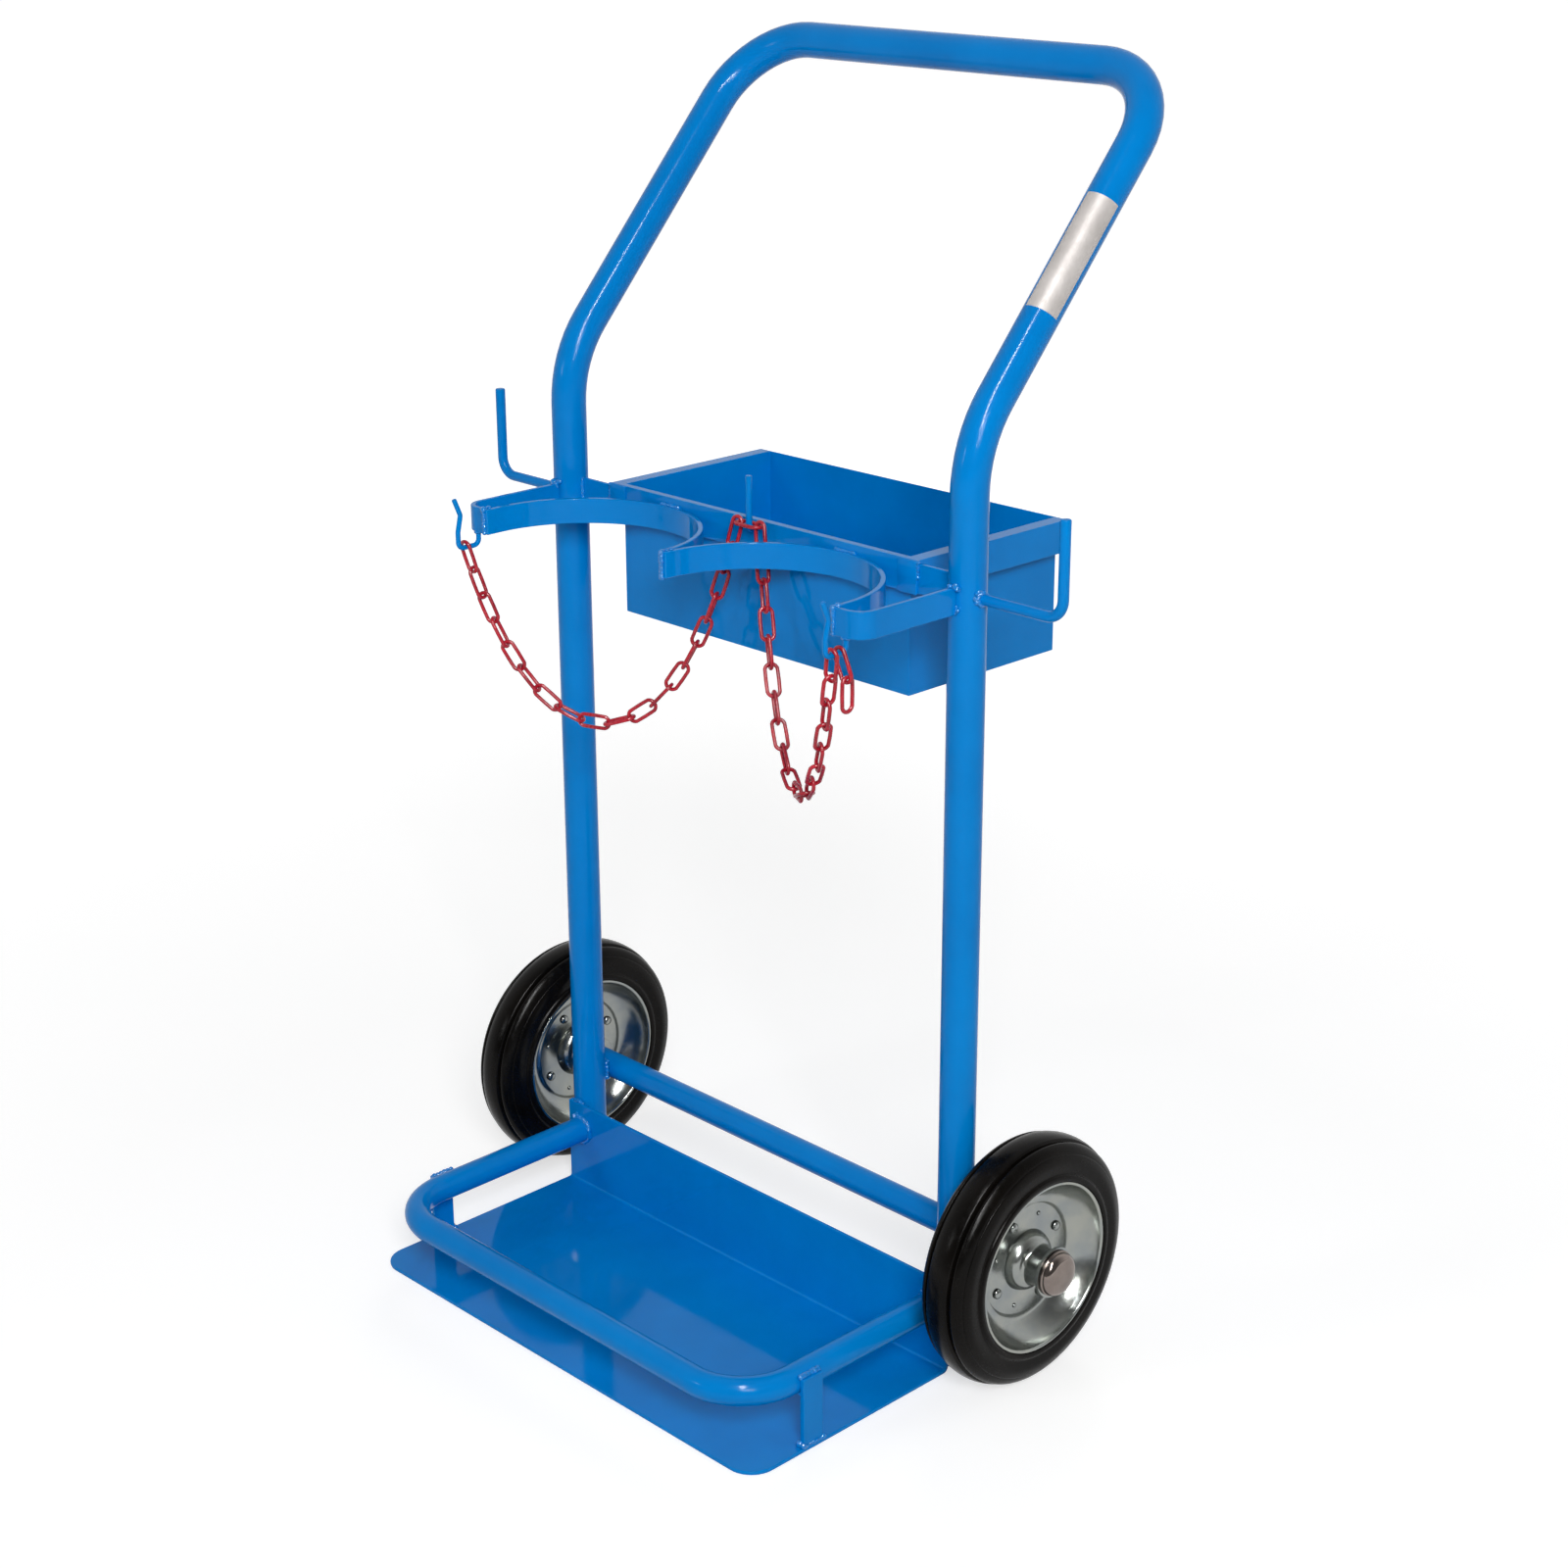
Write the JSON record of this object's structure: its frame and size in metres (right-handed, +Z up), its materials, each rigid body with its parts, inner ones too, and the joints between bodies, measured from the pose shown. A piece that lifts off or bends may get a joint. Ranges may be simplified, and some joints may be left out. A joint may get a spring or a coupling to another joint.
{
  "type": "gas cylinder trolley",
  "caption": "Two-wheeled tube trolley with a railed foot plate, curved cradles, safety chain, tool tray and hose hooks for moving gas cylinders upright.",
  "frame": {"origin": "middle of the ground area, on the floor", "axes": "+Z up, front of the trolley towards -Y, +X to the right seen from the front"},
  "size_m": [0.612, 0.4537, 0.9766],
  "materials": {
    "blue_enamel": "glossy enamel",
    "red_chain": "glossy coat",
    "rubber": "satin",
    "zinc_steel": "zinc plated",
    "cap_steel": "plain"
  },
  "bodies": {
    "frame": {"main_tube": "blue_enamel", "foot_plate": "blue_enamel", "guard_rail": "blue_enamel", "left_rail_post": "blue_enamel", "right_rail_post": "blue_enamel", "axle": "blue_enamel", "tool_tray": "blue_enamel", "left_tray_tab": "blue_enamel", "right_tray_tab": "blue_enamel", "left_cradle_arc": "blue_enamel", "right_cradle_arc": "blue_enamel", "left_cradle_arm": "blue_enamel", "right_cradle_arm": "blue_enamel", "hose_hooks": "blue_enamel", "chain_hooks": "blue_enamel", "middle_hook": "blue_enamel", "axle_washers": "zinc_steel", "axle_caps": "cap_steel", "middle_link": "red_chain"},
    "left_wheel": {"left_tyre": "rubber", "left_wheel_centre": "zinc_steel", "left_hub": "zinc_steel"},
    "right_wheel": {"right_tyre": "rubber", "right_wheel_centre": "zinc_steel", "right_hub": "zinc_steel"},
    "left_chain": {"left_chain_span": "red_chain"},
    "right_chain": {"right_chain_span": "red_chain"},
    "tail": {"chain_tail": "red_chain"}
  },
  "joints": [
    {"name": "left_wheel_spin", "type": "hinge", "parent": "frame", "child": "left_wheel", "pos_m": [-0.262, 0.02935, 0.1], "axis": [1, 0, 0], "continuous": true},
    {"name": "right_wheel_spin", "type": "hinge", "parent": "frame", "child": "right_wheel", "pos_m": [0.262, 0.02935, 0.1], "axis": [1, 0, 0], "continuous": true},
    {"name": "left_chain_swing", "type": "hinge", "parent": "frame", "child": "left_chain", "pos_m": [-0.2012, -0.11685, 0.6006], "axis": [-0.8471, -0.5097, -0.1502], "range_deg": [-6, 15]},
    {"name": "right_chain_swing", "type": "hinge", "parent": "frame", "child": "right_chain", "pos_m": [0.2012, -0.11685, 0.6006], "axis": [-0.8471, 0.5097, 0.1502], "range_deg": [-1, 15]},
    {"name": "chain_tail_swing", "type": "hinge", "parent": "frame", "child": "tail", "pos_m": [0.1998, -0.10985, 0.6006], "axis": [0, 1, 0], "range_deg": [-5, 5]}
  ]
}
